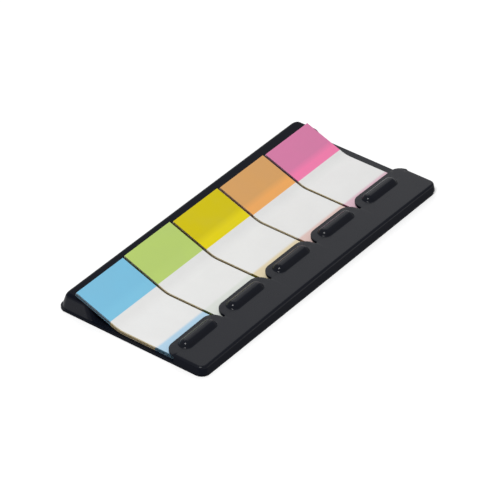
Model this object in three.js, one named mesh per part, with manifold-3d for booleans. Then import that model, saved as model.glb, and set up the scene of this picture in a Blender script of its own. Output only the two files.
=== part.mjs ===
// Sticky index tabs in a flat dispenser.
//
// A black formed tray carries five stacks of film tabs side by side. The coloured end of each
// stack climbs the round ridge along the back of the tray, and the other end is tucked under the
// tongues of a cover strip along the front. Millimetres, +Z up. X runs along the row of stacks,
// Y from the cover strip at the front to the ridge at the back, and the origin lies under the
// middle of the tray, on the table.

import * as THREE from 'three';
import { mergeVertices } from 'three/addons/utils/BufferGeometryUtils.js';
import Module from 'manifold-3d';

// Tray: one thin formed sheet
const TRAY_WIDTH = 85.6;
const TRAY_DEPTH = 40.4;
const TRAY_CORNER = 2.2;
const SHEET = 0.6;

// Ridge along the back of the tray, hollow from below
const RIDGE_TOP = 4.0;
const RIDGE_DEPTH = 10.0;
const RIDGE_MARGIN = 0.3;
const RIDGE_FRONT_RUN = 2.6;
const RIDGE_BACK_RUN = 0.9;
const RIDGE_END_RUN = 0.9;
const RIDGE_ROUND = 0.9;

// Tabs
const TAB_WIDTH = 15.8;
const TAB_LENGTH = 33.0;
const TAB_FILM = 0.12;
const TABS_IN_PAD = 6;
const TAB_SPACING = 0.7;
const SECOND_TAB_STAGGER = 0.3;
const FILM_CLEARANCE = 0.02;
const BACK_OVERHANG = 2.4;
const RAMP_ANGLE = THREE.MathUtils.degToRad(20.3);
const RAMP_RADIUS = 8.0;
const RAMP_CLEARANCE = 0.05;

// Cover strip: front wall, crowned top, tongues and ribs, all one formed sheet
const STRIP_DEPTH = 7.6;
const STRIP_TOP = 3.0;
const STRIP_CROWN = 0.5;
const STRIP_CORNER = 1.6;
const STRIP_FRONT_RUN = 0.3;
const STRIP_END_RUN = 0.15;
const STRIP_ROUND = 0.7;
const WELD_CLEARANCE = 0.02;
const WALL_CLEARANCE = 0.1;
const TONGUE_LENGTH = 3.4;
const TONGUE_CORNER = 2.9;
const NOTCH_WIDTH = 0.8;
const RIB_LENGTH = 12.8;
const RIB_WIDTH = 3.8;
const RIB_HEIGHT = 1.1;
const RIB_EDGE = 1.1;

// The stacks from left to right, each pushed a little way along its bed
const STACKS = [
  { name: 'blue', colour: 0x80c8e4, slide: 0.3 },
  { name: 'green', colour: 0xb5d075, slide: 0.4 },
  { name: 'yellow', colour: 0xe0d214, slide: 0.0 },
  { name: 'orange', colour: 0xe8a562, slide: -0.3 },
  { name: 'pink', colour: 0xe87fb2, slide: -0.5 },
];

const BLACK_PLASTIC = { color: 0x1d1e21, roughness: 0.28, metalness: 0.0 };
const FILM = { roughness: 0.45, metalness: 0.0 };

// Sizes that follow from the ones above
const FRONT_Y = -TRAY_DEPTH / 2;
const BACK_Y = TRAY_DEPTH / 2;
const LEFT_X = -TRAY_WIDTH / 2;
const RIGHT_X = TRAY_WIDTH / 2;
const PITCH = TAB_WIDTH + TAB_SPACING;
const FIRST_TAB_X = LEFT_X + SHEET + STRIP_END_RUN + WALL_CLEARANCE;
const TONGUE_EDGE_Y = FRONT_Y + STRIP_DEPTH + TONGUE_LENGTH;
const RIDGE_FOOT_Y = BACK_Y - RIDGE_MARGIN - RIDGE_DEPTH;
const BELOW = 2;
const SHARP = 0.05;
const CURVE_STEPS = 8;
const RIB_ROUND_STEPS = 5;

const wasm = await Module();
wasm.setup();

// Solids and meshes

function solidFrom(geometry) {
  const bare = geometry.clone();
  bare.deleteAttribute('normal');
  bare.deleteAttribute('uv');
  const merged = mergeVertices(bare, 1e-4);
  return new wasm.Manifold(new wasm.Mesh({
    numProp: 3,
    vertProperties: new Float32Array(merged.attributes.position.array),
    triVerts: new Uint32Array(merged.index.array),
  }));
}

function geometryFrom(solid) {
  const mesh = solid.getMesh();
  const geometry = new THREE.BufferGeometry();
  geometry.setAttribute('position', new THREE.BufferAttribute(new Float32Array(mesh.vertProperties), 3));
  geometry.setIndex(new THREE.BufferAttribute(new Uint32Array(mesh.triVerts), 1));
  geometry.computeVertexNormals();
  return geometry;
}

function mesh(name, geometry, material) {
  const node = new THREE.Mesh(geometry, new THREE.MeshStandardMaterial(material));
  node.name = name;
  return node;
}

function extrude(shape, depth) {
  return new THREE.ExtrudeGeometry(shape, { depth, bevelEnabled: false, curveSegments: CURVE_STEPS });
}

// An outline in X and Y, raised from z = low to z = high
function raise(shape, low, high) {
  return extrude(shape, high - low).translate(0, 0, low);
}

// An outline in Y and Z, drawn out along X
function drawAlongX(shape, from, to) {
  const turn = new THREE.Matrix4().makeBasis(
    new THREE.Vector3(0, 1, 0), new THREE.Vector3(0, 0, 1), new THREE.Vector3(1, 0, 0));
  return extrude(shape, to - from).applyMatrix4(turn).translate(from, 0, 0);
}

// An outline in X and Z, drawn out along Y
function drawAlongY(shape, from, to) {
  const turn = new THREE.Matrix4().makeBasis(
    new THREE.Vector3(1, 0, 0), new THREE.Vector3(0, 0, 1), new THREE.Vector3(0, -1, 0));
  return extrude(shape, to - from).applyMatrix4(turn).translate(0, to, 0);
}

function block(from, to) {
  const size = new THREE.Vector3().subVectors(to, from);
  const middle = new THREE.Vector3().addVectors(from, to).multiplyScalar(0.5);
  return new THREE.BoxGeometry(size.x, size.y, size.z).translate(middle.x, middle.y, middle.z);
}

function roundedRectangle(left, front, right, back, radius) {
  const shape = new THREE.Shape();
  shape.absarc(right - radius, back - radius, radius, 0, Math.PI / 2);
  shape.absarc(left + radius, back - radius, radius, Math.PI / 2, Math.PI);
  shape.absarc(left + radius, front + radius, radius, Math.PI, 1.5 * Math.PI);
  shape.absarc(right - radius, front + radius, radius, 1.5 * Math.PI, 2 * Math.PI);
  return shape;
}

// How far a rounded corner reaches along its two sides, where they turn through an angle
function cornerReach(radius, turn) {
  return radius * Math.tan(turn / 2);
}

// The inside of a formed corner is rounder by less than its outside, by the wall between them
function insideRound(radius, inset) {
  return Math.max(radius - inset, SHARP);
}

// A hump seen from its end: two leaning sides, round shoulders and a top that may be crowned
function hump({ from, to, top, foot, startRun, endRun, round, crown = 0 }) {
  const startTurn = Math.atan2(top - foot, startRun);
  const endTurn = Math.atan2(top - foot, endRun);
  const startX = from + startRun + cornerReach(round, startTurn);
  const endX = to - endRun - cornerReach(round, endTurn);
  const shape = new THREE.Shape();
  shape.moveTo(to, foot - BELOW);
  shape.lineTo(to, foot);
  shape.absarc(endX, top - round, round, Math.PI / 2 - endTurn, Math.PI / 2);
  shape.quadraticCurveTo((startX + endX) / 2, top + 2 * crown, startX, top);
  shape.absarc(startX, top - round, round, Math.PI / 2, Math.PI / 2 + startTurn);
  shape.lineTo(from, foot);
  shape.lineTo(from, foot - BELOW);
  return shape;
}

// Tray: floor sheet with the ridge, outside or inside surface by the inset

function ridgeForm(inset) {
  const side = hump({
    from: RIDGE_FOOT_Y + inset,
    to: BACK_Y - RIDGE_MARGIN - inset,
    top: RIDGE_TOP - inset,
    foot: SHEET - inset,
    startRun: RIDGE_FRONT_RUN,
    endRun: RIDGE_BACK_RUN,
    round: insideRound(RIDGE_ROUND, inset),
  });
  const front = hump({
    from: LEFT_X + RIDGE_MARGIN + inset,
    to: RIGHT_X - RIDGE_MARGIN - inset,
    top: RIDGE_TOP - inset,
    foot: SHEET - inset,
    startRun: RIDGE_END_RUN,
    endRun: RIDGE_END_RUN,
    round: insideRound(RIDGE_ROUND, inset),
  });
  const alongRow = solidFrom(drawAlongX(side, LEFT_X, RIGHT_X));
  const acrossTray = solidFrom(drawAlongY(front, FRONT_Y, BACK_Y));
  return alongRow.intersect(acrossTray);
}

function trayOutline() {
  return roundedRectangle(LEFT_X, FRONT_Y, RIGHT_X, BACK_Y, TRAY_CORNER);
}

function baseTray() {
  const floor = solidFrom(raise(trayOutline(), 0, SHEET));
  const reach = solidFrom(raise(trayOutline(), 0, RIDGE_TOP + BELOW));
  const tray = floor.add(ridgeForm(0).intersect(reach)).subtract(ridgeForm(SHEET));
  return mesh('base_tray', geometryFrom(tray), BLACK_PLASTIC);
}

// Tabs: films that lie flat on the floor, then bend up and lean on the ridge

// The ramp's underside touches the round front shoulder of the ridge, give or take a clearance
function rampStart(floor) {
  const shoulderTurn = Math.atan2(RIDGE_TOP - SHEET, RIDGE_FRONT_RUN);
  const shoulderY = RIDGE_FOOT_Y + RIDGE_FRONT_RUN + cornerReach(RIDGE_ROUND, shoulderTurn);
  const shoulderZ = RIDGE_TOP - RIDGE_ROUND;
  const reach = RIDGE_ROUND + RAMP_CLEARANCE;
  const rise = shoulderZ + reach * Math.cos(RAMP_ANGLE) - floor;
  const kinkY = shoulderY - reach * Math.sin(RAMP_ANGLE) - rise / Math.tan(RAMP_ANGLE);
  return { bendY: kinkY - cornerReach(RAMP_RADIUS, RAMP_ANGLE), shoulderY };
}

// Outline in Y and Z of a layer between two heights above the floor, pushed along by a slide
function layerOutline(low, high, slide) {
  const floor = SHEET + FILM_CLEARANCE;
  const { bendY, shoulderY } = rampStart(floor);
  const centreZ = floor + RAMP_RADIUS;
  const bendLength = RAMP_RADIUS * RAMP_ANGLE;
  const rampFromBend = (shoulderY - bendY) / Math.cos(RAMP_ANGLE) - bendLength;
  const rampLength = rampFromBend + BACK_OVERHANG + slide;
  const frontY = bendY - (TAB_LENGTH - bendLength - rampFromBend - BACK_OVERHANG) + slide;
  const along = new THREE.Vector2(Math.cos(RAMP_ANGLE), Math.sin(RAMP_ANGLE));
  const endOf = (height) => new THREE.Vector2(
    bendY + (RAMP_RADIUS - height) * Math.sin(RAMP_ANGLE),
    centreZ - (RAMP_RADIUS - height) * Math.cos(RAMP_ANGLE)).addScaledVector(along, rampLength);
  const foot = -Math.PI / 2;
  const shape = new THREE.Shape();
  shape.moveTo(frontY, floor + low);
  shape.absarc(bendY, centreZ, RAMP_RADIUS - low, foot, foot + RAMP_ANGLE);
  shape.lineTo(endOf(low).x, endOf(low).y);
  shape.lineTo(endOf(high).x, endOf(high).y);
  shape.absarc(bendY, centreZ, RAMP_RADIUS - high, foot + RAMP_ANGLE, foot, true);
  shape.lineTo(frontY, floor + high);
  return shape;
}

function tabStack({ name, colour, slide }, index) {
  const padHeight = TABS_IN_PAD * TAB_FILM;
  const secondLow = padHeight + FILM_CLEARANCE;
  const topLow = secondLow + TAB_FILM + FILM_CLEARANCE;
  const layers = [
    { layer: 'tab_pad', low: 0, thick: padHeight, push: slide },
    { layer: 'second_tab', low: secondLow, thick: TAB_FILM, push: slide - SECOND_TAB_STAGGER },
    { layer: 'top_tab', low: topLow, thick: TAB_FILM, push: slide },
  ];
  const left = FIRST_TAB_X + index * PITCH;
  const stack = new THREE.Group();
  for (const { layer, low, thick, push } of layers) {
    const film = drawAlongX(layerOutline(low, low + thick, push), left, left + TAB_WIDTH);
    stack.add(mesh(`${name}_${layer}`, film, { ...FILM, color: colour }));
  }
  return stack;
}

// Cover strip

function tongueCentre(index) {
  return FIRST_TAB_X + index * PITCH + TAB_WIDTH / 2;
}

// Straight front, and a round-cornered tongue over each stack with a narrow notch between two
function stripOutline() {
  const backY = TONGUE_EDGE_Y;
  const notchY = FRONT_Y + STRIP_DEPTH + NOTCH_WIDTH / 2;
  const corner = Math.min(TONGUE_CORNER, backY - notchY);
  const shape = new THREE.Shape();
  shape.absarc(LEFT_X + STRIP_CORNER, FRONT_Y + STRIP_CORNER, STRIP_CORNER, Math.PI, 1.5 * Math.PI);
  shape.absarc(RIGHT_X - STRIP_CORNER, FRONT_Y + STRIP_CORNER, STRIP_CORNER, -Math.PI / 2, 0);
  shape.absarc(RIGHT_X - corner, backY - corner, corner, 0, Math.PI / 2);
  for (let index = STACKS.length - 1; index > 0; index -= 1) {
    const notchX = tongueCentre(index) - PITCH / 2;
    const side = NOTCH_WIDTH / 2;
    shape.absarc(notchX + side + corner, backY - corner, corner, Math.PI / 2, Math.PI);
    shape.absarc(notchX, notchY, side, 0, -Math.PI, true);
    shape.absarc(notchX - side - corner, backY - corner, corner, 0, Math.PI / 2);
  }
  shape.absarc(LEFT_X + corner, backY - corner, corner, Math.PI / 2, Math.PI);
  return shape;
}

// Outside or inside surface of the strip by the inset, crowned along the row
function stripForm(inset) {
  const foot = SHEET + WELD_CLEARANCE;
  const endTop = STRIP_TOP - STRIP_CROWN - inset;
  const side = hump({
    from: FRONT_Y + inset,
    to: TONGUE_EDGE_Y + STRIP_DEPTH,
    top: STRIP_TOP - inset,
    foot,
    startRun: STRIP_FRONT_RUN,
    endRun: STRIP_FRONT_RUN,
    round: insideRound(STRIP_ROUND, inset),
  });
  const front = hump({
    from: LEFT_X + inset,
    to: RIGHT_X - inset,
    top: endTop,
    foot,
    startRun: STRIP_END_RUN,
    endRun: STRIP_END_RUN,
    round: insideRound(STRIP_ROUND, inset),
    crown: STRIP_CROWN,
  });
  const alongRow = solidFrom(drawAlongX(side, LEFT_X, RIGHT_X));
  const acrossTray = solidFrom(drawAlongY(front, FRONT_Y, TONGUE_EDGE_Y + STRIP_DEPTH));
  return alongRow.intersect(acrossTray);
}

// Height of the strip's top at a place along the row
function crownHeight(x) {
  const share = x / (TRAY_WIDTH / 2);
  return STRIP_TOP - STRIP_CROWN * share * share;
}

// A long round-ended rib pressed up from below, outside or inside surface by the inset. Its straight
// root starts halfway down the sheet that it stands on, and its rounded top rises above that sheet.
function ribForm(index, inset) {
  const round = RIB_HEIGHT - inset;
  const x = tongueCentre(index);
  const y = TONGUE_EDGE_Y - RIB_EDGE - RIB_WIDTH / 2;
  const halfWidth = RIB_WIDTH / 2 - inset - round;
  const halfLength = RIB_LENGTH / 2 - inset - round;
  const core = roundedRectangle(x - halfLength, y - halfWidth, x + halfLength, y + halfWidth, halfWidth);
  const root = crownHeight(x) - inset - SHEET / 2;
  const geometry = new THREE.ExtrudeGeometry(core, {
    depth: inset + SHEET / 2,
    bevelThickness: round,
    bevelSize: round,
    bevelSegments: RIB_ROUND_STEPS,
    curveSegments: RIB_ROUND_STEPS,
  });
  return solidFrom(geometry.translate(0, 0, root));
}

function coverStrip() {
  const foot = SHEET + WELD_CLEARANCE;
  const above = block(
    new THREE.Vector3(LEFT_X, FRONT_Y, foot),
    new THREE.Vector3(RIGHT_X, TONGUE_EDGE_Y + STRIP_DEPTH, STRIP_TOP + RIB_HEIGHT + BELOW));
  const outline = solidFrom(raise(stripOutline(), foot, STRIP_TOP + BELOW));
  let outside = stripForm(0).intersect(outline);
  let inside = stripForm(SHEET);
  STACKS.forEach((_, index) => {
    outside = outside.add(ribForm(index, 0));
    inside = inside.add(ribForm(index, SHEET));
  });
  const strip = outside.intersect(solidFrom(above)).subtract(inside);
  return mesh('cover_strip', geometryFrom(strip), BLACK_PLASTIC);
}

const model = new THREE.Group();
model.add(baseTray());
STACKS.forEach((stack, index) => model.add(tabStack(stack, index)));
model.add(coverStrip());

export default model;
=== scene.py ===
# %% [markdown]
# # Sticky index tabs in a flat dispenser
#
# The object is a card-sized black dispenser. A thin formed tray carries five stacks of film tabs
# side by side. Each stack climbs a rounded ridge along the back, and its other end is tucked under a
# cover strip with tongues and ribs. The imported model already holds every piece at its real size, so
# this script only dresses it: each piece gets its fine edges, its separate films and its finish.

import math
import random

import bmesh
import bpy
from mathutils import Matrix, Vector


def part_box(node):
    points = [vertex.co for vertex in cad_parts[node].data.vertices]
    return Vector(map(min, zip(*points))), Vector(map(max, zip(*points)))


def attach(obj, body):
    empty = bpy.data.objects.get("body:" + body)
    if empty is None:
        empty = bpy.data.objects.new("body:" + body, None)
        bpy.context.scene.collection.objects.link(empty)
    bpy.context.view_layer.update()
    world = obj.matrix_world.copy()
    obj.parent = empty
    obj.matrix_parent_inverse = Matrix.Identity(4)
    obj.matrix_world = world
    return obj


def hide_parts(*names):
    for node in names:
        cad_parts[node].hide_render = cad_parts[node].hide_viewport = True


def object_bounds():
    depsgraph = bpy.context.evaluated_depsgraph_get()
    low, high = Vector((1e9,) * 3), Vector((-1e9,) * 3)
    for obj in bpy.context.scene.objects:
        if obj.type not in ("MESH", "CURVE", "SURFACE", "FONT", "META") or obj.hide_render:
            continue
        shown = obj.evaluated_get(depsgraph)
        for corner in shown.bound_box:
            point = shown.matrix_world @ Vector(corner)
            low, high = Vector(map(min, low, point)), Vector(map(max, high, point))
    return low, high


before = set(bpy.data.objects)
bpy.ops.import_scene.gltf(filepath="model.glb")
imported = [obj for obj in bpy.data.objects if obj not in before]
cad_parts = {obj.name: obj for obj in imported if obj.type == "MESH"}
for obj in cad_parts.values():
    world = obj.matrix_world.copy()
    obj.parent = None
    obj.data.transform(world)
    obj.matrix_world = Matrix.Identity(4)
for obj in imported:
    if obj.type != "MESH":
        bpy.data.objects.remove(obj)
CAD_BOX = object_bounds()
MM = 0.001
size = CAD_BOX[1] - CAD_BOX[0]
print("loaded", len(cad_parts), "pieces in a box of", [round(c / MM, 2) for c in size], "mm")

# %% [markdown]
# ## The camera
#
# A camera is described by where it stands and by how narrow its view is. The place could be set by
# hand until the picture looks right. Here it is worked out from the direction of view, because the
# tray's corners in the reference picture give that direction to half a degree: the camera looks down
# at 37 degrees, over the strip's left end. It stands far away with a long lens, so the parallel edges
# of the tray stay almost parallel.

# %% Place the camera
VIEW_AZIMUTH = math.radians(-52.46)
VIEW_ELEVATION = math.radians(36.71)
VIEW_DISTANCE = 790 * MM
VIEW_CENTRE = Vector((-0.665 * MM, -0.16 * MM, 0))
SENSOR_WIDTH = 36.0
LENS = 257.5


def direction(azimuth, elevation):
    """The direction from the object to something that stands at this azimuth and elevation."""
    flat = math.cos(elevation)
    return Vector((math.sin(azimuth) * flat, -math.cos(azimuth) * flat, math.sin(elevation)))


def make_camera():
    data = bpy.data.cameras.new("camera")
    data.sensor_width = SENSOR_WIDTH
    data.lens = LENS
    camera = bpy.data.objects.new("camera", data)
    back = direction(VIEW_AZIMUTH, VIEW_ELEVATION)
    camera.location = VIEW_CENTRE + back * VIEW_DISTANCE
    camera.rotation_euler = (-back).to_track_quat("-Z", "Y").to_euler()
    bpy.context.scene.collection.objects.link(camera)
    bpy.context.scene.camera = camera
    return camera


camera = make_camera()
print("the camera stands at", [round(c / MM) for c in camera.location], "mm")

# %% [markdown]
# ## From a bmesh to a finished piece
#
# Every piece below is built as a bmesh, a mesh that lives in memory while it is being shaped. The same
# few steps then turn each of them into an object: write the mesh, give it its materials, shade it
# smooth, tell the frame which body it rides on and hide the plain piece it stands for. They are one
# function, so that no piece can miss a step. Two more helpers add modifiers to it: one gives a sheet
# its thickness, and the other takes off every sharp edge.

# %% Helpers that finish a piece
SHARP = math.radians(50)


def add_piece(name, bm, materials, stands_for):
    """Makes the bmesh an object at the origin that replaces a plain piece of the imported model."""
    mesh = bpy.data.meshes.new(name)
    bm.to_mesh(mesh)
    bm.free()
    for material in materials:
        mesh.materials.append(material)
    for polygon in mesh.polygons:
        polygon.use_smooth = True
    piece = bpy.data.objects.new(name, mesh)
    bpy.context.scene.collection.objects.link(piece)
    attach(piece, "root")
    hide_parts(stands_for)
    return piece


def thicken(piece, thickness, offset, rim_material=0):
    """Gives a sheet its thickness: offset 1 grows it out along its normals, and -1 grows it inwards."""
    solid = piece.modifiers.new("thickness", "SOLIDIFY")
    solid.thickness = thickness
    solid.offset = offset
    solid.use_even_offset = True
    solid.material_offset_rim = rim_material


def break_edges(piece, width, segments, material=-1):
    """Rounds every edge that turns by more than SHARP, as no real edge is perfectly sharp."""
    bevel = piece.modifiers.new("edges", "BEVEL")
    bevel.width = width
    bevel.segments = segments
    bevel.limit_method = "ANGLE"
    bevel.angle_limit = SHARP
    bevel.profile = 0.5
    bevel.material = material
    normals = piece.modifiers.new("normals", "WEIGHTED_NORMAL")
    normals.keep_sharp = True


def triangles_of(piece):
    """How many triangles a piece has once its modifiers have run."""
    bpy.context.view_layer.update()
    made = piece.evaluated_get(bpy.context.evaluated_depsgraph_get()).to_mesh()
    made.calc_loop_triangles()
    return len(made.loop_triangles)


# %% [markdown]
# ## Glossy black plastic
#
# The tray and the strip are formed from thin black sheet. Black gloss shows almost nothing of its own
# colour: what is seen is the room's reflection, so the base colour is nearly black and the detail is
# in the surface. A formed sheet is never quite flat, which bends the reflections in slow waves, and
# handling leaves fine hazy patches and hairlines. The waves and a fine grain go into Bump nodes, and
# the haze goes into the roughness. Along the ridge, down the walls and on the cut rims the faces get a
# duller copy of the material with less shine, which is painted shade: it makes those faces darker.
# The shine is a plain number on the shader, because a number that another node feeds in would be lost
# when the model is exported. The noise reads Object coordinates in metres, so its scales are written
# for lengths: a scale of 90 makes waves of about 11 millimetres.

# %% Helpers for materials
def new_material(name):
    material = bpy.data.materials.new(name)
    material.use_nodes = True
    nodes = material.node_tree.nodes
    nodes.clear()
    output = nodes.new("ShaderNodeOutputMaterial")
    shader = nodes.new("ShaderNodeBsdfPrincipled")
    material.node_tree.links.new(shader.outputs["BSDF"], output.inputs["Surface"])
    return material, nodes, material.node_tree.links, shader


def add_noise(nodes, links, scale, detail, stretch=(1, 1, 1)):
    """A noise pattern on Object coordinates, drawn out along an axis where the stretch is small."""
    place = nodes.new("ShaderNodeTexCoord")
    mapping = nodes.new("ShaderNodeMapping")
    mapping.inputs["Scale"].default_value = stretch
    noise = nodes.new("ShaderNodeTexNoise")
    noise.inputs["Scale"].default_value = scale
    noise.inputs["Detail"].default_value = detail
    links.new(place.outputs["Object"], mapping.inputs["Vector"])
    links.new(mapping.outputs["Vector"], noise.inputs["Vector"])
    return noise.outputs["Fac"]


def remap(nodes, links, value, low, high, to_low, to_high):
    """Turns the range low to high of a value into another range, and holds it there beyond the ends."""
    node = nodes.new("ShaderNodeMapRange")
    sockets = ("From Min", "From Max", "To Min", "To Max")
    for name, number in zip(sockets, (low, high, to_low, to_high)):
        node.inputs[name].default_value = number
    links.new(value, node.inputs["Value"])
    return node.outputs["Result"]


def add_bump(nodes, links, height, distance, strength, below=None):
    """A bump of a real height in metres, laid over another bump if one is given."""
    bump = nodes.new("ShaderNodeBump")
    bump.inputs["Distance"].default_value = distance
    bump.inputs["Strength"].default_value = strength
    links.new(height, bump.inputs["Height"])
    if below is not None:
        links.new(below, bump.inputs["Normal"])
    return bump.outputs["Normal"]


def add_values(nodes, links, first, second):
    total = nodes.new("ShaderNodeMath")
    total.operation = "ADD"
    links.new(first, total.inputs[0])
    links.new(second, total.inputs[1])
    return total.outputs["Value"]


# %% Make the black plastic
BLACK = (0.006, 0.0072, 0.0122, 1)
PLASTIC_IOR = 1.38
FLAT_SHINE = 0.26
# Less shine for the faces that get painted shade, so that they render darker.
PAINTED_SHADE_SHINE = 0.04
WAVE_SCALE = 90
WAVE_HEIGHT = 0.12 * MM
GRAIN_SCALE = 2600
GRAIN_HEIGHT = 0.003 * MM
HAZE_SCALE = 260
HAZE_ROUGHNESS = (0.16, 0.27)
HAIRLINE_SCALE = 900
HAIRLINE_STRETCH = (0.12, 1.6, 1)
HAIRLINE_ROUGHNESS = 0.07


def make_black_plastic(name, shine):
    material, nodes, links, shader = new_material(name)
    waves = add_noise(nodes, links, WAVE_SCALE, 1)
    grain = add_noise(nodes, links, GRAIN_SCALE, 2)
    haze = add_noise(nodes, links, HAZE_SCALE, 5)
    hairlines = add_noise(nodes, links, HAIRLINE_SCALE, 3, HAIRLINE_STRETCH)
    slow = add_bump(nodes, links, waves, WAVE_HEIGHT, 0.5)
    fine = add_bump(nodes, links, grain, GRAIN_HEIGHT, 0.35, below=slow)
    links.new(fine, shader.inputs["Normal"])
    patches = remap(nodes, links, haze, 0.42, 0.72, *HAZE_ROUGHNESS)
    rubbed = remap(nodes, links, hairlines, 0.62, 0.7, 0, HAIRLINE_ROUGHNESS)
    links.new(add_values(nodes, links, patches, rubbed), shader.inputs["Roughness"])
    shader.inputs["Specular IOR Level"].default_value = shine
    shader.inputs["Base Color"].default_value = BLACK
    shader.inputs["IOR"].default_value = PLASTIC_IOR
    return material


# The second copy, with less shine, is painted shade on the faces that get it.
plastics = [
    make_black_plastic("black_plastic", FLAT_SHINE),
    make_black_plastic("painted_shade_plastic", PAINTED_SHADE_SHINE),
]
print("made", " and ".join(plastic.name for plastic in plastics))

# %% [markdown]
# ## Shaping with pulls, bevels and cuts
#
# The tray and the strip are both made the way a press makes them, from a flat sheet. Three moves are
# enough. A pull draws a line of edges out into a new band of sheet, a bevel rounds a corner in plan or
# an edge in height, and a cut across the sheet gives it more points to bend at. Each is a bmesh
# operator, wrapped here once so that the recipes below read as recipes.

# %% Helpers for shaping
NEAR = 0.01 * MM


def cut_across(bm, place):
    """Cuts the whole bmesh by an upright plane that stands across the row of stacks."""
    everything = bm.verts[:] + bm.edges[:] + bm.faces[:]
    bmesh.ops.bisect_plane(
        bm, geom=everything, dist=NEAR, plane_co=(place, 0, 0), plane_no=(1, 0, 0))


def pull_edges(bm, edges, move):
    """Extrudes edges by a vector, and returns the new edges along the far side and their vertices."""
    pulled = bmesh.ops.extrude_edge_only(bm, edges=edges)["geom"]
    verts = [g for g in pulled if isinstance(g, bmesh.types.BMVert)]
    far = [g for g in pulled if isinstance(g, bmesh.types.BMEdge) and all(v in verts for v in g.verts)]
    bmesh.ops.translate(bm, vec=move, verts=verts)
    return far, verts


def round_corners(bm, verts, radius, segments):
    """Rounds flat corners in plan, as scissors would."""
    bmesh.ops.bevel(bm, geom=verts, offset=radius, offset_type="OFFSET", segments=segments,
                    profile=0.5, affect="VERTICES", material=-1)


def round_edges(bm, edges, reach, segments):
    """Rounds edges by an arc that reaches this far along both of their faces."""
    bmesh.ops.bevel(bm, geom=edges, offset=reach, offset_type="OFFSET", segments=segments,
                    profile=0.5, affect="EDGES", material=-1)


def turning_edges(bm, angle, height):
    """The edges at a height where the surface turns by more than an angle in radians."""
    return [e for e in bm.edges if len(e.link_faces) == 2 and e.calc_face_angle() > angle
            and all(abs(v.co.z - height) < NEAR for v in e.verts)]


# %% [markdown]
# ## The tray
#
# On the real thing the tray is one sheet, pressed over a mould: a flat floor with a hollow rounded
# ridge along the back. It could be cut from a block, but a sheet is made more easily as a sheet. The
# outline of the tray and the foot of the ridge are two loops of edges, and triangle_fill closes the
# floor between them. The inner loop is pulled up and drawn in, capped, and rounded along its shoulder
# and its foot. Only then does the whole sheet get its thickness, downwards, which leaves the ridge
# hollow by itself. The ridge, all but its two ends, gets the duller plastic as painted shade.

# %% Set the tray's sizes
SHEET = 0.6 * MM
TRAY_CORNER = 2.2 * MM
RIDGE_DEPTH = 10.0 * MM
RIDGE_MARGIN = 0.3 * MM
RIDGE_FRONT_RUN = 2.6 * MM
RIDGE_BACK_RUN = 0.9 * MM
RIDGE_END_RUN = 0.9 * MM
RIDGE_ROUND = 0.9 * MM
FOOT_ROUND = 0.15 * MM
RIM_ROUND = 0.13 * MM
CORNER_STEPS = 10
SHOULDER_STEPS = 6
FOOT_STEPS = 3
RIM_STEPS = 3
FOOT_TURN = 0.6
END_FACING = 0.7

tray_low, tray_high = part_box("base_tray")
tray_size = [round(c / MM, 1) for c in tray_high - tray_low]
print("the tray is", tray_size[0], "by", tray_size[1], "mm, and its ridge", tray_size[2], "mm high")


# %% Draw the tray's outlines and raise the ridge
def draw_rectangle(bm, low, high, height, radius):
    """The edges of a rectangle with round corners, between two corners in plan."""
    plan = ((low.x, low.y), (high.x, low.y), (high.x, high.y), (low.x, high.y))
    corners = [bm.verts.new((x, y, height)) for x, y in plan]
    bm.faces.new(corners)
    round_corners(bm, corners, radius, CORNER_STEPS)
    bmesh.ops.delete(bm, geom=bm.faces[:], context="FACES_ONLY")


def raise_ridge(bm, foot, low, high):
    """Pulls the ridge up out of its foot, leans its sides in, caps it and rounds it."""
    shoulder, verts = pull_edges(bm, foot, (0, 0, tray_high.z - SHEET))
    for vert in verts:
        share = (vert.co.y - low.y) / (high.y - low.y)
        vert.co.y += RIDGE_FRONT_RUN * (1 - share) - RIDGE_BACK_RUN * share
        vert.co.x *= 1 - RIDGE_END_RUN / high.x
    bmesh.ops.edgeloop_fill(bm, edges=shoulder)
    bmesh.ops.recalc_face_normals(bm, faces=bm.faces)
    round_edges(bm, shoulder, RIDGE_ROUND, SHOULDER_STEPS)
    round_edges(bm, turning_edges(bm, FOOT_TURN, SHEET), FOOT_ROUND, FOOT_STEPS)


# %% Build the tray
def build_tray():
    bm = bmesh.new()
    low = Vector((tray_low.x + RIDGE_MARGIN, tray_high.y - RIDGE_MARGIN - RIDGE_DEPTH))
    high = Vector((tray_high.x - RIDGE_MARGIN, tray_high.y - RIDGE_MARGIN))
    draw_rectangle(bm, low, high, SHEET, TRAY_CORNER - RIDGE_MARGIN)
    foot = bm.edges[:]
    draw_rectangle(bm, tray_low, tray_high, SHEET, TRAY_CORNER)
    bmesh.ops.triangle_fill(bm, edges=bm.edges[:], use_beauty=True, normal=(0, 0, 1))
    raise_ridge(bm, foot, low, high)
    if max(bm.faces, key=lambda f: f.calc_area()).normal.z < 0:
        bmesh.ops.reverse_faces(bm, faces=bm.faces)
    # Material 1 is the duller plastic: painted shade on the ridge's long faces.
    for face in bm.faces:
        long_side = abs(face.normal.x) < END_FACING
        face.material_index = int(long_side and face.calc_center_median().z > SHEET + NEAR)
    return bm


tray = add_piece("tray_shell", build_tray(), plastics, "base_tray")
# The rims made by the thickness get the duller plastic too, as painted shade.
thicken(tray, SHEET, -1, rim_material=1)
break_edges(tray, RIM_ROUND, RIM_STEPS)
print("tray_shell has", triangles_of(tray), "triangles")

# %% [markdown]
# ## The cover strip
#
# The strip is a second formed sheet, welded along the front of the tray. It has a low front wall, a
# top that is crowned a little along its length, and a tongue over each stack with a long rib pressed
# up in it. The tongues are alike, so the top is laid out from tiles that meet at the notches. In each
# tile the outline of the tongue and the outline of the rib are two loops of edges, and triangle_fill
# closes the flat ring between them. A subdivided slab would be rounder everywhere, but it would lose
# the crisp outline of the notches.

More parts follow.
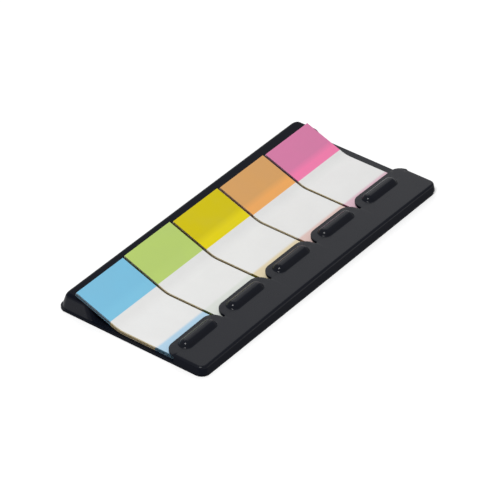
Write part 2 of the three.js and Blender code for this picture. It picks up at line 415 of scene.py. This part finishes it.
# %% Lay out the tongues
STACK_NAMES = ("blue", "green", "yellow", "orange", "pink")
STRIP_DEPTH = 7.6 * MM
STRIP_FRONT_RUN = 0.3 * MM
STRIP_END_RUN = 0.15 * MM
TONGUE_CORNER = 2.9 * MM
NOTCH_WIDTH = 0.8 * MM
RIB_LENGTH = 11.2 * MM
RIB_WIDTH = 3.3 * MM
RIB_HEIGHT = 1.1 * MM
RIB_EDGE = 0.93 * MM
RIB_FILLET = 0.27 * MM
RIB_STEPS = 6
RIB_OUTLINE_STEPS = 32
FILLET_STEPS = 4
RIB_ARC = (RIB_WIDTH ** 2 / 4 + RIB_HEIGHT ** 2) / (2 * RIB_HEIGHT)
RIB_STRAIGHT = (RIB_LENGTH - RIB_WIDTH) / 2
FRONT_BAND = 2.5 * MM
JUST_SHORT = 0.99

strip_low, strip_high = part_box("cover_strip")
strip_top = strip_high.z - RIB_HEIGHT
band_y = strip_low.y + FRONT_BAND
notch_y = strip_low.y + STRIP_DEPTH
tab_boxes = [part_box(name + "_top_tab") for name in STACK_NAMES]
tongue_middles = [(low.x + high.x) / 2 for low, high in tab_boxes]
notch_places = [(a + b) / 2 for a, b in zip(tongue_middles, tongue_middles[1:])]
print("the tongues are centred at", [round(x / MM, 2) for x in tongue_middles], "mm")

# %% [markdown]
# ## The outlines of a tongue and of a rib
#
# The tongue was cut out with a punch, so its outline is crisp and its corners are arcs. It is drawn as
# one flat face, whose corners are then rounded one at a time, each with its own radius. The face is
# thrown away and its edges stay. A rib's outline starts as a circle. Its two halves are moved apart,
# and the sides between them become straight.

# %% Draw the outlines
def draw_tongue(bm, left, right, left_notch, right_notch):
    """The edges round a tongue, from the band along the front to its round corners at the back.

    The roundings stop just short of their full radius, so that two of them never meet in one point.
    """
    side = NOTCH_WIDTH / 2
    corners = [(left, band_y, 0), (right, band_y, 0)]
    if right_notch:
        corners += [(right, notch_y, 0), (right - side, notch_y, side)]
    corners += [(right - side * right_notch, strip_high.y, TONGUE_CORNER)]
    corners += [(left + side * left_notch, strip_high.y, TONGUE_CORNER)]
    if left_notch:
        corners += [(left + side, notch_y, side), (left, notch_y, 0)]
    verts = [bm.verts.new((x, y, strip_top)) for x, y, _ in corners]
    bm.faces.new(verts)
    for vert, (_, _, radius) in zip(verts, corners):
        if radius:
            round_corners(bm, [vert], radius * JUST_SHORT, CORNER_STEPS)
    bmesh.ops.delete(bm, geom=bm.faces[:], context="FACES_ONLY")


def draw_rib(bm, middle):
    """A closed loop of edges with two straight sides and two round ends, where a rib leaves the top.

    The circle is turned by half a step first, so that no point lies on the line between its halves.
    """
    made = bmesh.ops.create_circle(bm, segments=RIB_OUTLINE_STEPS, radius=RIB_WIDTH / 2)["verts"]
    half_step = Matrix.Rotation(math.pi / RIB_OUTLINE_STEPS, 3, "Z")
    bmesh.ops.rotate(bm, verts=made, cent=(0, 0, 0), matrix=half_step)
    for vert in made:
        vert.co.x += math.copysign(RIB_STRAIGHT, vert.co.x)
    bmesh.ops.translate(bm, vec=middle, verts=made)
    return made


# %% [markdown]
# ## Raising a rib
#
# A rib stiffens its tongue. It was stretched up out of the sheet, which leaves it a round back and a
# soft fillet at the foot. A half cylinder set on the strip would show a seam there. So the outline
# itself is pulled up, ring by ring, and each ring lies a little higher and closer to the rib's middle
# line, along one arc.

# %% Raise a rib
def raise_rib(bm, loop, middle):
    """Pulls the loop up ring by ring over a round back, caps it, and fillets its foot.

    The last ring stops half a step short of the top, and a small flat cap closes it.
    """
    ring = [e for e in bm.edges if all(v in loop for v in e.verts)]
    reach = RIB_WIDTH / 2
    steepest = math.asin(reach / RIB_ARC)
    for step in range(1, RIB_STEPS + 1):
        slope = steepest * (1 - step / (RIB_STEPS + 0.5))
        closer = RIB_ARC * math.sin(slope) / reach
        ring, verts = pull_edges(bm, ring, (0, 0, 0))
        for vert in verts:
            along = max(-RIB_STRAIGHT, min(RIB_STRAIGHT, vert.co.x - middle.x))
            spine = Vector((middle.x + along, middle.y, 0))
            vert.co = spine + (vert.co - spine) * closer
            vert.co.z = strip_top + RIB_HEIGHT - RIB_ARC * (1 - math.cos(slope))
        reach *= closer
    bmesh.ops.edgeloop_fill(bm, edges=ring)
    bmesh.ops.recalc_face_normals(bm, faces=bm.faces)
    round_edges(bm, turning_edges(bm, FOOT_TURN, strip_top), RIB_FILLET, FILLET_STEPS)


# %% [markdown]
# ## One tile of the strip
#
# A tile is a tongue, its rib and its share of the band along the front. The first and the last tile
# have a notch on one side only. Each is made by itself and kept as a mesh, so that the strip can be
# put together from five of them and merged where they meet.

# %% Make one tile
def tongue_tile(index):
    """One tongue with its rib and its share of the band along the front, as a mesh of its own."""
    left_notch = index > 0
    right_notch = index < len(notch_places)
    left = notch_places[index - 1] if left_notch else strip_low.x + STRIP_END_RUN
    right = notch_places[index] if right_notch else strip_high.x - STRIP_END_RUN
    bm = bmesh.new()
    draw_tongue(bm, left, right, left_notch, right_notch)
    middle = Vector((tongue_middles[index], strip_high.y - RIB_EDGE - RIB_WIDTH / 2, strip_top))
    loop = draw_rib(bm, middle)
    bmesh.ops.triangle_fill(bm, edges=bm.edges[:], use_beauty=True, normal=(0, 0, 1))
    raise_rib(bm, loop, middle)
    front = [e for e in bm.edges if all(abs(v.co.y - band_y) < NEAR for v in e.verts)]
    pull_edges(bm, front, (0, strip_low.y + STRIP_FRONT_RUN - band_y, 0))
    mesh = bpy.data.meshes.new("tile")
    bm.to_mesh(mesh)
    bm.free()
    return mesh


# %% [markdown]
# ## The wall and the crown
#
# The front wall is pulled down out of the front edge, and leans out a little so that the part could
# leave its mould. Its corners are rounded in plan first and along the top second, in that order,
# because the second bevel then runs round the first. The crown is bent in last, after cuts across the
# strip have given it enough points to bend at. The faces of the walls that stand steep get the duller
# plastic, as painted shade.

# %% Build the cover strip
STRIP_CORNER = 1.6 * MM
STRIP_ROUND = 0.6 * MM
STRIP_CROWN = 0.5 * MM
CROWN_STEP = 2.06 * MM
WALL_TURN = 1.0
FLAT = 0.9
STEEP = math.radians(75.5)


def pull_down_wall(bm, foot):
    """The wall along the front and both ends, leaning out to its foot, with round corners."""
    inner_y = strip_low.y + STRIP_FRONT_RUN
    inner_x = strip_high.x - STRIP_END_RUN
    rim = [e for e in bm.edges if e.is_boundary and (
        all(abs(v.co.y - inner_y) < NEAR for v in e.verts)
        or all(abs(abs(v.co.x) - inner_x) < NEAR for v in e.verts))]
    _, low = pull_edges(bm, rim, (0, 0, foot - strip_top))
    for vert in low:
        if abs(vert.co.y - inner_y) < NEAR:
            vert.co.y -= STRIP_FRONT_RUN
        if abs(abs(vert.co.x) - inner_x) < NEAR:
            vert.co.x += math.copysign(STRIP_END_RUN, vert.co.x)
    bmesh.ops.recalc_face_normals(bm, faces=bm.faces)
    upright = [e for e in bm.edges if abs(e.verts[0].co.z - e.verts[1].co.z) > SHEET
               and all(abs(v.co.x) > inner_x - NEAR and v.co.y < inner_y + NEAR for v in e.verts)]
    round_edges(bm, upright, STRIP_CORNER, CORNER_STEPS)
    round_edges(bm, turning_edges(bm, WALL_TURN, strip_top), STRIP_ROUND, SHOULDER_STEPS)


def bend_crown(bm, foot):
    """Lowers the top toward both ends of the row, and the wall in proportion to its height."""
    cuts = int(strip_high.x / CROWN_STEP)
    for step in range(-cuts, cuts + 1):
        cut_across(bm, step * CROWN_STEP)
    for vert in bm.verts:
        share = min(1, (vert.co.z - foot) / (strip_top - foot))
        vert.co.z -= share * STRIP_CROWN * (vert.co.x / strip_high.x) ** 2


def build_strip():
    bm = bmesh.new()
    for index in range(len(STACK_NAMES)):
        tile = tongue_tile(index)
        bm.from_mesh(tile)
        bpy.data.meshes.remove(tile)
    bmesh.ops.remove_doubles(bm, verts=bm.verts, dist=NEAR)
    pull_down_wall(bm, strip_low.z)
    bend_crown(bm, strip_low.z)
    largest = max(bm.faces, key=lambda f: f.calc_area() if abs(f.normal.z) > FLAT else 0)
    if largest.normal.z < 0:
        bmesh.ops.reverse_faces(bm, faces=bm.faces)
    # Steep faces get material 1, the duller plastic, which paints shade on them.
    for face in bm.faces:
        face.material_index = int(abs(face.normal.z) < math.cos(STEEP))
    return bm


strip = add_piece("cover_shell", build_strip(), plastics, "cover_strip")
# The rims get the duller plastic too, as painted shade.
thicken(strip, SHEET, -1, rim_material=1)
break_edges(strip, RIM_ROUND, RIM_STEPS)
print("cover_shell has", triangles_of(strip), "triangles")

# %% [markdown]
# ## Printed film
#
# A tab is clear film with a frosted side that can be written on. Ink covers one end, up to a sharp
# line. The tabs of a stack lie alternately one way and the other, so the ink of the next tab shows
# pale through the far end of the one above it. Real see-through film would need light to pass many
# layers. Painting the pale zone gives the same look and stays clean, so one material does it all. It
# reads an attribute that each film carries, the distance along the film from its inked end, so the
# print follows the film round its bend.

# %% Set the measures of the print
INK_LENGTH = 10.3 * MM
INK_EDGE = 0.06 * MM
# The length of the band of painted highlight next to the ink's sharp line.
BEND_HIGHLIGHT_LENGTH = 3.4 * MM
THROUGH_EDGE = 0.5 * MM
TAB_LENGTH = 33.0 * MM
STAGGER = 0.3 * MM
FILM_IOR = 1.18
FIBRE_SCALE = 1500
FIBRE_HEIGHT = 0.004 * MM
FILM_ROUGHNESS = (0.42, 0.55)
CLOUD_SCALE = 180
CLOUD_DEPTH = 0.05
ALONG = "from_inked_end"
print("ink covers", round(INK_LENGTH / MM, 1), "mm of a tab", round(TAB_LENGTH / MM, 1), "mm long")

# %% [markdown]
# ## The colours of the ink
#
# A shader counts in amounts of light, while a colour is easiest to choose by the numbers it has on a
# screen. One small function turns the second into the first. Each ink has three colours: as it is, a
# brighter one that is a painted highlight in the band near its sharp line, where the film starts to
# bend, and as it shows pale through the film above.

# %% Set the colours
def linear(red, green, blue):
    """A colour given as screen values from 0 to 255, turned into amounts of light."""
    shares = [c / 255 for c in (red, green, blue)]
    light = [s / 12.92 if s <= 0.04045 else ((s + 0.055) / 1.055) ** 2.4 for s in shares]
    return (*light, 1)


FROSTED = linear(232, 232, 231)
SHADED = linear(150, 150, 150)
# The second colour of each ink is a painted highlight for the band where the film starts to bend.
INKS = {
    "blue": dict(ink=linear(125, 194, 226), bend_highlight=linear(128, 198, 229), through=linear(178, 211, 233)),
    "green": dict(ink=linear(186, 211, 113), bend_highlight=linear(188, 213, 115), through=linear(221, 225, 219)),
    "yellow": dict(ink=linear(214, 197, 0), bend_highlight=linear(233, 215, 0), through=linear(228, 213, 178)),
    "orange": dict(ink=linear(220, 165, 102), bend_highlight=linear(244, 174, 99), through=linear(228, 199, 192)),
    "pink": dict(ink=linear(220, 128, 171), bend_highlight=linear(249, 130, 178), through=linear(226, 190, 203)),
}
print("set the colours of", ", ".join(INKS), "ink")


# %% Make the film materials
def blend_colours(nodes, links, factor, first, second):
    """Mixes two colours by a factor, each one a plain colour or what another node gives."""
    mix = nodes.new("ShaderNodeMix")
    mix.data_type = "RGBA"
    links.new(factor, mix.inputs[0])
    for socket, colour in ((mix.inputs[6], first), (mix.inputs[7], second)):
        if isinstance(colour, tuple):
            socket.default_value = colour
        else:
            links.new(colour, socket)
    return mix.outputs[2]


def distance_on_film(nodes):
    attribute = nodes.new("ShaderNodeAttribute")
    attribute.attribute_name = ALONG
    return attribute.outputs["Fac"]


def make_film(name, ink, bend_highlight, through):
    material, nodes, links, shader = new_material(name)
    along = distance_on_film(nodes)
    fibres = add_noise(nodes, links, FIBRE_SCALE, 4)
    clouds = add_noise(nodes, links, CLOUD_SCALE, 3)
    inked = remap(nodes, links, along, INK_LENGTH - INK_EDGE, INK_LENGTH + INK_EDGE, 1, 0)
    # This mask picks the band near the ink's sharp line, where a brighter colour paints a highlight.
    in_bend_highlight = remap(nodes, links, along, INK_LENGTH - BEND_HIGHLIGHT_LENGTH, INK_LENGTH - BEND_HIGHLIGHT_LENGTH / 2, 0, 1)
    next_ink = TAB_LENGTH - INK_LENGTH + STAGGER
    shows = remap(nodes, links, along, next_ink - THROUGH_EDGE / 3, next_ink + THROUGH_EDGE, 0, 1)
    white = blend_colours(nodes, links, shows, FROSTED, through)
    # In that band the ink turns to its brighter colour, a painted highlight.
    coloured = blend_colours(nodes, links, in_bend_highlight, ink, bend_highlight)
    printed = blend_colours(nodes, links, inked, white, coloured)
    cloudy = remap(nodes, links, clouds, 0.3, 0.7, 0, CLOUD_DEPTH)
    links.new(blend_colours(nodes, links, cloudy, printed, SHADED), shader.inputs["Base Color"])
    links.new(remap(nodes, links, fibres, 0.35, 0.65, *FILM_ROUGHNESS), shader.inputs["Roughness"])
    links.new(add_bump(nodes, links, fibres, FIBRE_HEIGHT, 0.4), shader.inputs["Normal"])
    shader.inputs["IOR"].default_value = FILM_IOR
    return material


films = {name: make_film(name + "_film", **inks) for name, inks in INKS.items()}
print("made", ", ".join(film.name for film in films.values()))

# %% [markdown]
# ## The cut edge of the film
#
# Where the films were cut, their edges show what is inside: clear film and a line of adhesive, which
# looks warm and dull beside the frosted face, and nearly black where ink lies over it or under it. The
# edges of the pad get a darker colour than those of the two loose films, which is painted shade for
# the lower films. The edge is a second material on each film, and the Solidify modifier puts it on
# the rim.

# %% Make the film's edge materials
ADHESIVE = linear(212, 192, 138)
# The pad's edge colour is a painted shade, darker than the edges of the loose films.
PAD_ADHESIVE_IN_PAINTED_SHADE = linear(124, 106, 62)
EDGE_DEPTH = 0.06
CUT_SCALE = 1200
CUT_ROUGHNESS = (0.35, 0.6)


def make_film_edge(name, ink, adhesive_and_shade):
    material, nodes, links, shader = new_material(name)
    along = distance_on_film(nodes)
    inked = remap(nodes, links, along, INK_LENGTH - INK_EDGE, INK_LENGTH + INK_EDGE, 1, 0)
    far_end = TAB_LENGTH - INK_LENGTH
    under_ink = remap(nodes, links, along, far_end - INK_EDGE, far_end + INK_EDGE, 0, 1)
    deep_ink = tuple(c * EDGE_DEPTH for c in ink[:3]) + (1,)
    dark = add_values(nodes, links, inked, under_ink)
    # For the pad this edge colour is the darker one, a painted shade.
    links.new(blend_colours(nodes, links, dark, adhesive_and_shade, deep_ink), shader.inputs["Base Color"])
    cut = add_noise(nodes, links, CUT_SCALE, 2)
    links.new(remap(nodes, links, cut, 0.3, 0.7, *CUT_ROUGHNESS), shader.inputs["Roughness"])
    return material


loose_edges = {
    name: make_film_edge(name + "_film_edge", inks["ink"], ADHESIVE) for name, inks in INKS.items()
}
# The pad's edges get the darker colour, painted shade.
pad_rims_in_painted_shade = {
    name: make_film_edge(name + "_pad_rim_painted_shade", inks["ink"], PAD_ADHESIVE_IN_PAINTED_SHADE) for name, inks in INKS.items()
}
print("made", len(loose_edges) + len(pad_rims_in_painted_shade), "edge materials")

# %% [markdown]
# ## The course of a stack
#
# A stack lies flat under the strip and over the floor, bends up, and leans straight on the ridge. The
# bend turns about one centre, and the further a film lies from it the longer its way round. Where the
# bend starts and how long the ramp is are worked out from the box of each layer, so that the films
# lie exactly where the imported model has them.

# %% Work out the courses
RAMP_ANGLE = math.radians(20.3)
RAMP_RADIUS = 8.0 * MM
FILM_PITCH = 0.12 * MM
FILMS_IN_PAD = 6


def course_of(node, floor, thickness):
    """The bend's start and the ramp's length of a layer, from the corners of its box."""
    low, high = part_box(node)
    inner = RAMP_RADIUS - (low.z - floor)
    climb = high.z - floor - RAMP_RADIUS + (inner - thickness) * math.cos(RAMP_ANGLE)
    ramp = climb / math.sin(RAMP_ANGLE)
    bend_y = high.y - inner * math.sin(RAMP_ANGLE) - ramp * math.cos(RAMP_ANGLE)
    return {"low": low, "high": high, "floor": floor, "bend_y": bend_y, "ramp": ramp}


floors = {name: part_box(name + "_tab_pad")[0].z for name in STACK_NAMES}
for name in STACK_NAMES:
    course = course_of(name + "_top_tab", floors[name], FILM_PITCH)
    print(name, "bends at", round(course["bend_y"] / MM, 2), "and climbs", round(course["ramp"] / MM, 2))

# %% [markdown]
# ## The films
#
# A film could be a plain strip that a modifier bends, but drawing it out is closer to what it is: a
# line across the film is extruded along the floor, turned step by step about the centre of the bend,
# and extruded up the ramp. Each new line notes how far along the film it is, for the print. Real films
# are never perfectly stacked, so each one is shifted by up to a tenth of a millimetre toward the strip
# and by much less to the side. Its cut edges are broken by far less than a hair's width.

# %% Draw a film
FILM = 0.1 * MM
FILM_ROUND = 0.02 * MM
BEND_STEPS = 10
RAMP_STEPS = 8


def draw_film(bm, course, film):
    """Draws the lower face of one film: its height in the stack, its offsets and its way round."""
    distance = bm.verts.layers.float[ALONG]
    low, floor, bend_y = course["low"], course["floor"], course["bend_y"] + film["shift"]
    front_y = low.y + film["shift"]
    corners = [(x + film["aside"], front_y, floor + film["height"]) for x in (low.x, course["high"].x)]
    line = [bm.edges.new([bm.verts.new(corner) for corner in corners])]
    centre = Vector((0, bend_y, floor + RAMP_RADIUS))
    turn = Matrix.Rotation(RAMP_ANGLE / BEND_STEPS, 3, "X")
    arc = (RAMP_RADIUS - film["height"]) * RAMP_ANGLE / BEND_STEPS
    step = course["ramp"] / RAMP_STEPS
    up = Vector((0, math.cos(RAMP_ANGLE), math.sin(RAMP_ANGLE))) * step
    moves = [((0, bend_y - front_y, 0), bend_y - front_y, False)]
    moves += [((0, 0, 0), arc, True)] * BEND_STEPS + [(up, step, False)] * RAMP_STEPS
    travelled = 0
    for vert in line[0].verts:
        vert[distance] = 0 if film["inked_in_front"] else TAB_LENGTH
    for move, length, turning in moves:
        line, verts = pull_edges(bm, line, move)
        if turning:
            bmesh.ops.rotate(bm, verts=verts, cent=centre, matrix=turn)
        travelled += length
        for vert in verts:
            vert[distance] = travelled if film["inked_in_front"] else TAB_LENGTH - travelled


# %% Build the stacks
SEED = 11
ASIDE = 0.02 * MM
FORWARD = 0.1 * MM

chance = random.Random(SEED)


def film_at(height, inked_in_front):
    """The place of one film in a stack, with the small faults of a real pile."""
    aside = chance.uniform(-ASIDE, ASIDE)
    shift = chance.uniform(-FORWARD, 0)
    return {"height": height, "aside": aside, "shift": shift, "inked_in_front": inked_in_front}


def build_layer(name, layer, thickness, sheets, edge):
    """All films of one layer as one mesh, each a strip of its own."""
    node = f"{name}_{layer}"
    course = course_of(node, floors[name], thickness)
    bm = bmesh.new()
    bm.verts.layers.float.new(ALONG)
    for film in sheets:
        draw_film(bm, course, film)
    bmesh.ops.recalc_face_normals(bm, faces=bm.faces)
    downward = [f for f in bm.faces if f.normal.z < 0]
    bmesh.ops.reverse_faces(bm, faces=downward)
    piece = add_piece(node + "_film", bm, [films[name], edge], node)
    thicken(piece, FILM, 1, rim_material=1)
    break_edges(piece, FILM_ROUND, 1, material=1)


def build_stack(name):
    floor = floors[name]
    pad = [film_at(number * FILM_PITCH, number % 2 == 1) for number in range(FILMS_IN_PAD)]
    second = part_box(name + "_second_tab")[0].z - floor
    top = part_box(name + "_top_tab")[0].z - floor
    build_layer(name, "tab_pad", FILMS_IN_PAD * FILM_PITCH, pad, pad_rims_in_painted_shade[name])
    build_layer(name, "second_tab", FILM_PITCH, [film_at(second, True)], loose_edges[name])
    build_layer(name, "top_tab", FILM_PITCH, [film_at(top, False)], loose_edges[name])


for name in STACK_NAMES:
    build_stack(name)
print("built", len(STACK_NAMES), "stacks of", FILMS_IN_PAD + 2, "films")

# %% [markdown]
# ## Floor and light
#
# The object lies on a plain white surface. Two things are wanted of it at once: it should be pure
# white in the picture, and it should still carry the object's soft shadow. More light would give the
# first and spoil the object's colours. Instead the floor adds a little glow of its own to the rays
# that reach it straight from the camera, from a reflection or through something clear. The world is an
# even pale grey. A large soft lamp stands behind the object where the flat black top mirrors it, as in
# any picture of black gloss, and a smaller one high on the left gives the ribs their bright dots. The
# distances and sizes of the lamps are in metres, and their power is in watts.

# %% Make the floor
FLOOR_SIZE = 6.0
FLOOR_COLOUR = (0.8, 0.8, 0.8, 1)
FLOOR_ROUGHNESS = 0.9
FLOOR_GLOW = 0.32


def make_floor_material():
    material, nodes, links, shader = new_material("floor_white")
    shader.inputs["Base Color"].default_value = FLOOR_COLOUR
    shader.inputs["Roughness"].default_value = FLOOR_ROUGHNESS
    shader.inputs["Specular IOR Level"].default_value = 0
    shader.inputs["Emission Color"].default_value = (1, 1, 1, 1)
    path = nodes.new("ShaderNodeLightPath")
    seen = add_values(nodes, links, path.outputs["Is Camera Ray"], path.outputs["Is Glossy Ray"])
    seen = add_values(nodes, links, seen, path.outputs["Is Transmission Ray"])
    links.new(remap(nodes, links, seen, 0, 1, 0, FLOOR_GLOW), shader.inputs["Emission Strength"])
    return material


def make_floor():
    bm = bmesh.new()
    bmesh.ops.create_grid(bm, x_segments=1, y_segments=1, size=FLOOR_SIZE / 2)
    mesh = bpy.data.meshes.new("floor")
    bm.to_mesh(mesh)
    bm.free()
    mesh.materials.append(make_floor_material())
    floor = bpy.data.objects.new("floor", mesh)
    bpy.context.scene.collection.objects.link(floor)


make_floor()

# %% Light the scene
WORLD_STRENGTH = 0.45
BACK_ANGLES = (math.radians(127.5), math.radians(38))
BACK_DISTANCE = 0.6
BACK_SIZE = 0.5
BACK_POWER = 0.75
KEY_ANGLES = (math.radians(-84), math.radians(63))
KEY_DISTANCE = 0.6
KEY_SIZE = 0.13
KEY_POWER = 1.75


def light_world():
    world = bpy.data.worlds.new("studio")
    world.use_nodes = True
    background = world.node_tree.nodes["Background"]
    background.inputs["Color"].default_value = (1, 1, 1, 1)
    background.inputs["Strength"].default_value = WORLD_STRENGTH
    bpy.context.scene.world = world


def add_lamp(name, angles, distance, width, power):
    """A square soft lamp that points at the object."""
    data = bpy.data.lights.new(name, "AREA")
    data.shape = "SQUARE"
    data.size = width
    data.energy = power
    lamp = bpy.data.objects.new(name, data)
    away = direction(*angles)
    lamp.location = away * distance
    lamp.rotation_euler = (-away).to_track_quat("-Z", "Y").to_euler()
    bpy.context.scene.collection.objects.link(lamp)


light_world()
add_lamp("back", BACK_ANGLES, BACK_DISTANCE, BACK_SIZE, BACK_POWER)
add_lamp("key", KEY_ANGLES, KEY_DISTANCE, KEY_SIZE, KEY_POWER)
bpy.context.scene.view_settings.view_transform = "Standard"
